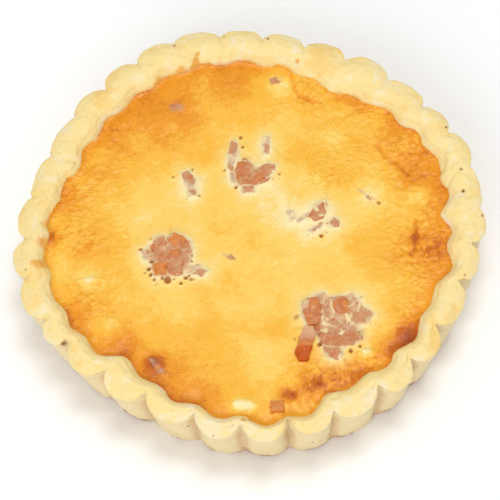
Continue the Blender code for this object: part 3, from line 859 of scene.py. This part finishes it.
def ring_radius(station, azimuth):
    """Radius, about the plan's centre, of one station of the case's profile at these azimuths."""
    turns = np.arange(FLUTES * RING_COLUMNS_PER_FLUTE) / RING_COLUMNS_PER_FLUTE
    ring = flute_points(turns, np.array([station]))[0]
    angle = np.arctan2(ring[:, 1], ring[:, 0])
    radius = np.hypot(ring[:, 0], ring[:, 1])
    order = np.argsort(angle)
    return np.interp(azimuth, angle[order], radius[order], period=math.tau)


def round_lattice(cells):
    """A square lattice pressed into the unit disc, keeping its cells' areas alike."""
    side = np.linspace(-1, 1, cells + 1)
    a, b = np.meshgrid(side, side, indexing="ij")
    a, b = a.ravel(), b.ravel()
    wide = np.abs(a) > np.abs(b)
    radius = np.where(wide, np.abs(a), np.abs(b))
    safe_a = np.where(a == 0, 1, a)
    safe_b = np.where(b == 0, 1, b)
    angle = np.where(wide, math.pi / 4 * b / safe_a, math.pi / 2 - math.pi / 4 * a / safe_b)
    flip = np.where(wide, a < 0, b < 0)
    angle = angle + math.pi * flip
    return radius, np.where(radius > 0, angle, 0.0)


def shape_custard():
    """The filling as one closed mesh: its skin in full relief, and a plain side and bottom out of sight."""
    share, angle = round_lattice(SKIN_CELLS)
    edge = ring_radius(EDGE_STATION, angle)
    x = share * edge * np.cos(angle)
    y = share * edge * np.sin(angle)
    plan = np.column_stack([x, y, np.zeros(len(x))])
    to_edge = edge * (1 - share)
    degrees = np.degrees(angle) % 360
    left = np.exp(-(((degrees - 178) / 32) ** 2))
    back = np.exp(-(((degrees - 110) / 50) ** 2))

    level = skin_level(x, y)
    blistered = np.clip(spots(x, y, BLISTERED), 0, 1)
    wrinkled = np.clip(spots(x, y, WRINKLED), 0, 1)
    relief = 0.22 * ripple(plan, 16, 21) + 0.16 * ripple(plan, 6, 22) + 0.06 * ripple(plan, 2.5, 23)
    relief += (0.03 + 0.30 * blistered) * (0.5 * blisters(plan, 1.25, 24) + 0.5 * blisters(plan, 0.8, 25) - 0.35)
    relief += (0.02 + 0.10 * blistered) * ripple(plan, 0.9, 47)
    bent = plan + 1.2 * np.column_stack([ripple(plan, 4, 26), ripple(plan, 4, 27), np.zeros(len(x))])
    relief += (0.05 + 0.30 * wrinkled) * (fold_lines(bent, 4.6, 28) - 0.2)
    relief += 0.20 * wrinkled * fold_lines(bent, 2.0, 29)
    relief += 0.12 * np.maximum(wrinkled, blistered) * fold_lines(bent, 1.4, 50)
    climb = (0.5 + 0.9 * left + 0.4 * back) * (0.8 + 0.5 * ripple(plan, 7, 30))
    relief += climb * np.exp(-to_edge / 1.2)
    relief -= 0.35 * np.exp(-(((to_edge - 2.6) / 1.5) ** 2))

    painted_hole_shade = np.zeros(len(x))
    stain = np.zeros(len(x))
    for corners, width, depth, tint in CREASES_IN_SKIN:
        wander = 0.35 * ripple(plan, 1.5, 31)
        line = np.exp(-(((along_line(x, y, corners) + wander) / width) ** 2))
        relief -= 0.7 * depth * line
        stain = np.maximum(stain, 0.6 * tint * line)

    for px, py, wide, deep, lift in PALE_FLAKES:
        away = np.hypot((x - px) / wide, (y - py) / deep) + 0.25 * ripple(plan, 1.6, 48)
        relief += lift * smooth_step(-away, -1.1, -0.8) * (1 + 0.4 * ripple(plan, 0.9, 49))
    height = level + relief
    tint = spots(x, y, SUNK_HAM) * (0.8 + 0.4 * ripple(plan, 1.3, 32))
    veiled = np.zeros(len(x))
    halo = np.zeros(len(x))
    gap_open = np.ones(len(x))
    lumps = 0.40 * ripple(plan, 2.4, 33) + 0.26 * ripple(plan, 1.1, 34)
    ragged = 0.40 * ripple(plan, 1.9, 35) + 0.18 * ripple(plan, 0.8, 36)
    for name, corners, _, top, cover, change, _ in ham_cuts():
        middle = np.mean(corners, axis=0)
        close = np.flatnonzero(np.hypot(x - middle[0], y - middle[1]) < CUT_SURROUNDINGS)
        dx, dy = x[close] - middle[0], y[close] - middle[1]
        _, reach = polar_outline(corners, np.arctan2(dy, dx))
        over = np.hypot(dx, dy) - reach
        first = np.array(corners[0]) - middle
        toward = (dx * first[0] + dy * first[1]) / (first @ first)
        lapped = 0.0 if name in BARE else 1.0
        near = np.exp(-np.clip(over, 0, None) / 1.1) * lapped
        pale_ring = 0.25 if name in DEEP else 1.0
        gap_open[close] *= 1 - near * pale_ring
        lap = 0.42 * np.exp(-np.clip(-over, 0, None) / 0.4) * lapped
        veil = 0.5 * (cover + change * toward) + lumps[close] + lap
        veil = np.where(veil > 0, 0.5 * veil, 2.2 * veil)
        inside = smooth_step(-(over + ragged[close]), -0.35, 0.15)
        climb = lapped * np.exp(-np.clip(over, 0, None) / 0.9)
        level_here = height[close] + (top + 0.08 - height[close]) * climb
        height[close] = level_here * (1 - inside) + inside * (top + np.clip(veil, -1.5, 0.35))
        shown = inside * np.exp(-np.clip(veil, 0, 1) / 0.26) * (veil > -0.5)
        sunk = smooth_step(np.full(len(close), cover), -0.55, 0.05)
        tint[close] = np.maximum(tint[close], 0.9 * shown * (1 - sunk))
        under_skin = inside * np.exp(-np.clip(veil, 0, 1) / 0.8)
        veiled[close] = np.maximum(veiled[close], under_skin * sunk)
        ring = np.exp(-np.clip(over, 0, None) / 2.6) * (0.2 + 0.6 * lapped) * pale_ring
        halo[close] = np.maximum(halo[close], ring)
    crowd = smooth_step(1 - gap_open, 0.35, 0.90)
    crowd = np.clip(crowd + spots(x, y, HAM_JUICE), 0, 1)
    vein = smooth_step(fold_lines(bent, 2.8, 46), 0.55, 0.95) * np.clip(spots(x, y, VEINED), 0, 1)
    packed = crowd * np.clip(0.2 + spots(x, y, PACKED), 0, 1)
    tint = np.maximum(tint, 0.85 * packed * (0.9 + 0.4 * lumps)) * (1 - 0.75 * vein * crowd)
    veiled *= np.clip(0.8 + 0.6 * ripple(plan, 1.8, 55) + 0.3 * ripple(plan, 0.8, 56), 0.25, 1)
    height += crowd * (0.22 * lumps + 0.16 * vein)
    relief_late = np.zeros(len(x))
    for px, py, radius, depth in HOLES:
        away = np.hypot(x - px, y - py) / radius + 0.55 * ragged
        hollow = smooth_step(-away, -1.25, -0.55)
        relief_late -= 0.6 * depth * hollow - 0.15 * np.exp(-(((away - 1.6) / 0.5) ** 2))
        # Painted shade: each hole is coloured dark brown inside, for the shade in its hollow.
        painted_hole_shade = np.maximum(painted_hole_shade, hollow * min(1.0, 0.35 + 0.5 * depth))
    height = height + relief_late

    browning_and_blister_shade = 0.385 + 0.22 * np.exp(-to_edge / 6.0) + 0.25 * np.exp(-to_edge / 1.6)
    browning_and_blister_shade += spots(x, y, BROWNING) - spots(x, y, PALING) + stain
    browning_and_blister_shade += 0.10 * ripple(plan, 9, 41) + 0.06 * ripple(plan, 4, 42) + 0.04 * ripple(plan, 1.8, 43)
    browning_and_blister_shade += 0.22 * blistered * (0.6 * ripple(plan, 1.3, 44) + 0.4 * ripple(plan, 0.7, 45))
    # Painted shade: darker in the hollows between the blisters and paler on their tops.
    browning_and_blister_shade -= 0.16 * (blisters(plan, 1.25, 24) - 0.45) * blistered
    browning_and_blister_shade -= 0.12 * halo + 0.5 * crowd
    masks = {"browning_and_blister_shade": browning_and_blister_shade, "painted_hole_shade": painted_hole_shade, "ham_tint": tint, "halo": halo, "veiled": veiled}

    count = SKIN_CELLS + 1
    index = np.arange(count * count).reshape(count, count)
    rim = np.concatenate([index[:-1, 0], index[-1, :-1], index[:0:-1, -1], index[0, :0:-1]])
    points = [np.column_stack([x, y, height])]
    faces = lattice_faces(count, count, False).tolist()
    ring = rim
    for station in SKIRT:
        radius = ring_radius(station, angle[rim])
        low = np.column_stack([radius * np.cos(angle[rim]), radius * np.sin(angle[rim])])
        start = sum(len(p) for p in points)
        points.append(np.column_stack([low, np.full(len(rim), station[1])]))
        below = start + np.arange(len(rim))
        faces += np.stack([ring, below, np.roll(below, -1), np.roll(ring, -1)], -1).tolist()
        ring = below
    faces.append(ring[::-1].tolist())
    points = np.concatenate(points)
    masks = {name: np.concatenate([v, np.zeros(len(points) - len(v))]) for name, v in masks.items()}
    return points, faces, masks


# ---------------------------------------------------------------- materials
def linear(hex_colour):
    """An sRGB hex colour as linear red, green, blue and alpha."""
    channels = [int(hex_colour[k : k + 2], 16) / 255 for k in (1, 3, 5)]
    return (*[c / 12.92 if c <= 0.04045 else ((c + 0.055) / 1.055) ** 2.4 for c in channels], 1.0)


def add(tree, kind, inputs=None, **settings):
    """Adds a node with its settings. An input is a value, or another node's output to link."""
    node = tree.nodes.new(kind)
    for name, value in settings.items():
        setattr(node, name, value)
    for name, value in (inputs or {}).items():
        if isinstance(value, bpy.types.NodeSocket):
            tree.links.new(value, node.inputs[name])
        else:
            node.inputs[name].default_value = value
    return node


def new_material(name):
    made = bpy.data.materials.new(name)
    made.use_nodes = True
    return made, made.node_tree, made.node_tree.nodes["Principled BSDF"]


def lay_over(tree, colour, value, shade, low, high, most=1.0):
    """The colour with a shade over it: none where the value is low, and this much at most where it is high."""
    reach = {"Value": value, "From Min": low, "From Max": high, "To Max": most}
    share = add(tree, "ShaderNodeMapRange", reach, interpolation_type="SMOOTHSTEP")
    mix = add(tree, "ShaderNodeMix", {0: share.outputs[0], 6: colour, 7: linear(shade)}, data_type="RGBA")
    return mix.outputs[2]


def shortcrust():
    """Baked shortcrust: rolled flour-and-fat dough, pale and matt, with a gold blush and fine crumbs of fat, and a
    painted highlight along the lip.
    """
    made, tree, surface = new_material("Baked shortcrust pastry")
    place = add(tree, "ShaderNodeTexCoord").outputs["Object"]
    drawn_out = add(tree, "ShaderNodeMapping", {"Vector": place, "Scale": (0.7, 0.7, 5.0)}).outputs[0]
    layers_of_dough = add(tree, "ShaderNodeTexNoise", {"Vector": drawn_out, "Scale": 1 / (1.6 * MM), "Detail": 5.0})
    blush = add(
        tree,
        "ShaderNodeTexNoise",
        {"Vector": place, "Scale": 1 / (2.6 * MM), "Detail": 6.0, "Roughness": 0.62, "Distortion": 0.8},
    )
    crumb = add(tree, "ShaderNodeTexNoise", {"Vector": place, "Scale": 1 / (0.9 * MM), "Detail": 4.0})
    grain = add(tree, "ShaderNodeTexNoise", {"Vector": place, "Scale": 1 / (0.35 * MM), "Detail": 2.0})
    # This mask holds the golden tone of the bake and, along the lip, a painted highlight that turns the dough pale.
    golden_and_lip_highlight = add(tree, "ShaderNodeAttribute", attribute_name="golden_and_lip_highlight").outputs["Fac"]
    blushed = add(tree, "ShaderNodeMath", {0: blush.outputs["Fac"], 1: 0.75, 2: golden_and_lip_highlight}, operation="MULTIPLY_ADD")
    mottled = add(
        tree, "ShaderNodeMath", {0: crumb.outputs["Fac"], 1: 0.55, 2: blushed.outputs[0]}, operation="MULTIPLY_ADD"
    )
    colour = linear("#F7E6BA")
    for shade, low, high in (("#FAE09A", 0.76, 1.08), ("#F9D280", 1.14, 1.5), ("#E6B262", 1.56, 1.95)):
        colour = lay_over(tree, colour, mottled.outputs[0], shade, low, high)
    layers = (
        ("wall", "#F3DCAA", 0.7),
        # painted shade darkens the upper wall toward each crease
        ("painted_crease_shade", "#DDB78C", 0.5),
        ("run", "#EBA736", 0.85),
        ("base_brown", "#B07A52", 0.85),
        ("scorch", "#96571F", 0.92),
    )
    for mask, shade, most in layers:
        value = add(tree, "ShaderNodeAttribute", attribute_name=mask).outputs["Fac"]
        rough_edge = add(tree, "ShaderNodeMath", {0: crumb.outputs["Fac"], 1: 0.5, 2: value}, operation="MULTIPLY_ADD")
        colour = lay_over(tree, colour, rough_edge.outputs[0], shade, 0.45, 1.05, most)
    tree.links.new(colour, surface.inputs["Base Color"])
    bump = add(tree, "ShaderNodeBump", {"Height": grain.outputs["Fac"], "Strength": 0.5, "Distance": 0.15 * MM})
    broad = add(
        tree,
        "ShaderNodeBump",
        {"Height": crumb.outputs["Fac"], "Strength": 0.5, "Distance": 0.35 * MM, "Normal": bump.outputs[0]},
    )
    layered = add(
        tree,
        "ShaderNodeBump",
        {"Height": layers_of_dough.outputs["Fac"], "Strength": 0.55, "Distance": 0.6 * MM, "Normal": broad.outputs[0]},
    )
    tree.links.new(layered.outputs[0], surface.inputs["Normal"])
    surface.inputs["Roughness"].default_value = 0.62
    surface.inputs["Specular IOR Level"].default_value = 0.35
    surface.inputs["Subsurface Weight"].default_value = 0.12
    surface.inputs["Subsurface Radius"].default_value = (1.0, 0.7, 0.4)
    surface.inputs["Subsurface Scale"].default_value = 1.5 * MM
    return made


def custard():
    """Baked egg custard: egg and cream set to a thin skin, cream where it stayed cool, amber where it browned."""
    made, tree, surface = new_material("Baked egg custard")
    place = add(tree, "ShaderNodeTexCoord").outputs["Object"]
    mottle = add(
        tree,
        "ShaderNodeTexNoise",
        {"Vector": place, "Scale": 1 / (1.8 * MM), "Detail": 6.0, "Roughness": 0.65},
    )
    grain = add(tree, "ShaderNodeTexNoise", {"Vector": place, "Scale": 1 / (0.45 * MM), "Detail": 3.0})
    # The browning mask also holds painted shade in the hollows between the blisters.
    browning_and_blister_shade = add(tree, "ShaderNodeAttribute", attribute_name="browning_and_blister_shade").outputs["Fac"]
    rough = add(tree, "ShaderNodeMath", {0: mottle.outputs["Fac"], 1: 0.28, 2: browning_and_blister_shade}, operation="MULTIPLY_ADD")
    fine = add(tree, "ShaderNodeMath", {0: grain.outputs["Fac"], 1: 0.30, 2: rough.outputs[0]}, operation="MULTIPLY_ADD")
    colour = linear("#FBE6A8")
    shades = (
        ("#FCD062", 0.30, 0.56),
        ("#FABB3C", 0.58, 0.78),
        ("#EE9A1E", 0.80, 1.00),
        ("#C86600", 1.02, 1.28),
        ("#A04404", 1.32, 1.65),
    )
    for shade, low, high in shades:
        colour = lay_over(tree, colour, fine.outputs[0], shade, low, high)
    layers = (
        ("halo", "#F3E2B0", 0.6),
        ("veiled", "#C6A08C", 0.8),
        ("ham_tint", "#CB8C66", 0.92),
        # painted shade colours the inside of each hole dark brown
        ("painted_hole_shade", "#A8581C", 0.9),
    )
    for mask, shade, most in layers:
        value = add(tree, "ShaderNodeAttribute", attribute_name=mask).outputs["Fac"]
        colour = lay_over(tree, colour, value, shade, 0.05, 0.95, most)
    tree.links.new(colour, surface.inputs["Base Color"])
    gloss = add(
        tree,
        "ShaderNodeMapRange",
        {"Value": mottle.outputs["Fac"], "From Min": 0.3, "From Max": 0.7, "To Min": 0.26, "To Max": 0.5},
    )
    tree.links.new(gloss.outputs[0], surface.inputs["Roughness"])
    bump = add(tree, "ShaderNodeBump", {"Height": grain.outputs["Fac"], "Strength": 0.45, "Distance": 0.18 * MM})
    broad = add(
        tree,
        "ShaderNodeBump",
        {"Height": mottle.outputs["Fac"], "Strength": 0.35, "Distance": 0.3 * MM, "Normal": bump.outputs[0]},
    )
    tree.links.new(broad.outputs[0], surface.inputs["Normal"])
    tree.links.new(broad.outputs[0], surface.inputs["Coat Normal"])
    surface.inputs["Coat Weight"].default_value = 0.32
    surface.inputs["Coat Roughness"].default_value = 0.1
    surface.inputs["Specular IOR Level"].default_value = 0.16
    surface.inputs["Subsurface Weight"].default_value = 0.12
    surface.inputs["Subsurface Radius"].default_value = (1.0, 0.6, 0.2)
    surface.inputs["Subsurface Scale"].default_value = 2.0 * MM
    return made


def cooked_ham():
    """Cooked ham: cured pork, boiled, diced and baked, dull pink inside and orange-brown where it dried."""
    made, tree, surface = new_material("Cooked diced ham")
    place = add(tree, "ShaderNodeTexCoord").outputs["Object"]
    fibre = add(tree, "ShaderNodeTexNoise", {"Vector": place, "Scale": 1 / (1.1 * MM), "Detail": 4.0})
    grain = add(tree, "ShaderNodeTexNoise", {"Vector": place, "Scale": 1 / (0.4 * MM), "Detail": 2.0})
    toast = add(tree, "ShaderNodeAttribute", attribute_name="toast").outputs["Fac"]
    mottled = add(tree, "ShaderNodeMath", {0: fibre.outputs["Fac"], 1: 0.5, 2: toast}, operation="MULTIPLY_ADD")
    colour = linear("#CF9468")
    for shade, low, high in (("#C97B4C", 0.25, 0.6), ("#DA8A44", 0.6, 0.95), ("#C4540A", 1.05, 1.5)):
        colour = lay_over(tree, colour, mottled.outputs[0], shade, low, high)
    fat = add(tree, "ShaderNodeAttribute", attribute_name="fat").outputs["Fac"]
    share = add(tree, "ShaderNodeMath", {0: fat, 1: 0.7}, operation="MULTIPLY")
    mix = add(tree, "ShaderNodeMix", {0: share.outputs[0], 6: colour, 7: linear("#E2B288")}, data_type="RGBA")
    tree.links.new(mix.outputs[2], surface.inputs["Base Color"])
    bump = add(tree, "ShaderNodeBump", {"Height": grain.outputs["Fac"], "Strength": 0.4, "Distance": 0.15 * MM})
    tree.links.new(bump.outputs[0], surface.inputs["Normal"])
    surface.inputs["Roughness"].default_value = 0.42
    surface.inputs["Specular IOR Level"].default_value = 0.22
    surface.inputs["Subsurface Weight"].default_value = 0.08
    surface.inputs["Subsurface Radius"].default_value = (1.0, 0.4, 0.25)
    surface.inputs["Subsurface Scale"].default_value = 1.5 * MM
    return made


# ---------------------------------------------------------------- stage
CAMERA_ELEVATION = math.radians(60)
CAMERA_ROLL = math.radians(-6)
CAMERA_DISTANCE = 0.6875
CAMERA_LENS = 184.2
CAMERA_TARGET = Vector((SHIFT[0] * MM, SHIFT[1] * MM, 0.010))
# How far the target stands right of and above the middle of the picture, at the target's distance.
CAMERA_OFFSET = (0.00048, 0.00199)


def set_camera():
    data = bpy.data.cameras.new("Camera")
    camera = bpy.data.objects.new("Camera", data)
    bpy.context.scene.collection.objects.link(camera)
    data.sensor_width = 36
    data.lens = CAMERA_LENS
    data.clip_start = 0.01
    back = Vector((0, -math.cos(CAMERA_ELEVATION), math.sin(CAMERA_ELEVATION)))
    level = Vector((1, 0, 0))
    up = back.cross(level)
    right = level * math.cos(CAMERA_ROLL) + up * math.sin(CAMERA_ROLL)
    top = up * math.cos(CAMERA_ROLL) - level * math.sin(CAMERA_ROLL)
    matrix = Matrix((right, top, back)).transposed().to_4x4()
    matrix.translation = CAMERA_TARGET + back * CAMERA_DISTANCE - right * CAMERA_OFFSET[0] - top * CAMERA_OFFSET[1]
    camera.matrix_world = matrix
    bpy.context.scene.camera = camera


def area_light(name, location, size, watts):
    data = bpy.data.lights.new(name, "AREA")
    data.shape = "DISK"
    data.size = size
    data.energy = watts
    light = bpy.data.objects.new(name, data)
    light.location = location
    light.rotation_euler = (Vector((0, 0, 0)) - Vector(location)).to_track_quat("-Z", "Y").to_euler()
    bpy.context.scene.collection.objects.link(light)


def set_stage():
    """A white table, a soft and a small bare lamp above it, a wide soft fill in front and white surroundings."""
    bpy.ops.mesh.primitive_plane_add(size=4)
    table = bpy.context.active_object
    table.name = "table"
    made, _, surface = new_material("White laminate")
    surface.inputs["Base Color"].default_value = (0.98, 0.98, 0.98, 1)
    surface.inputs["Roughness"].default_value = 0.8
    surface.inputs["Specular IOR Level"].default_value = 0.2
    table.data.materials.append(made)
    area_light("Overhead softbox", (0.26, 0.16, 1.76), 0.70, 10.6)
    area_light("Small bare lamp", (-0.12, 0.10, 1.75), 0.05, 1.4)
    area_light("Front fill", (-0.60, -1.45, 1.15), 1.3, 12.5)
    world = bpy.data.worlds.new("White room")
    world.use_nodes = True
    world.node_tree.nodes["Background"].inputs["Color"].default_value = (1, 1, 1, 1)
    world.node_tree.nodes["Background"].inputs["Strength"].default_value = 0.50
    bpy.context.scene.world = world
    bpy.context.scene.view_settings.view_transform = "Standard"


# ---------------------------------------------------------------- the quiche
def build():
    points, faces, masks = shape_case()
    case = make_piece("shortcrust_case", points, faces, ["pastry_case"], masks)
    case.data.materials.append(shortcrust())
    points, faces, masks = shape_custard()
    filling = make_piece("egg_custard", points, faces, ["egg_filling"], masks)
    filling.data.materials.append(custard())
    meat = cooked_ham()
    for number, cut in enumerate(ham_cuts()):
        name = cut[0]
        points, faces, masks = shape_dice(cut, 100 + 10 * number)
        replaced = [name] if name in HAM_CUTS else ()
        piece = make_piece("cooked_" + name, points, faces, replaced, masks)
        piece.data.materials.append(meat)


set_camera()
set_stage()
build()
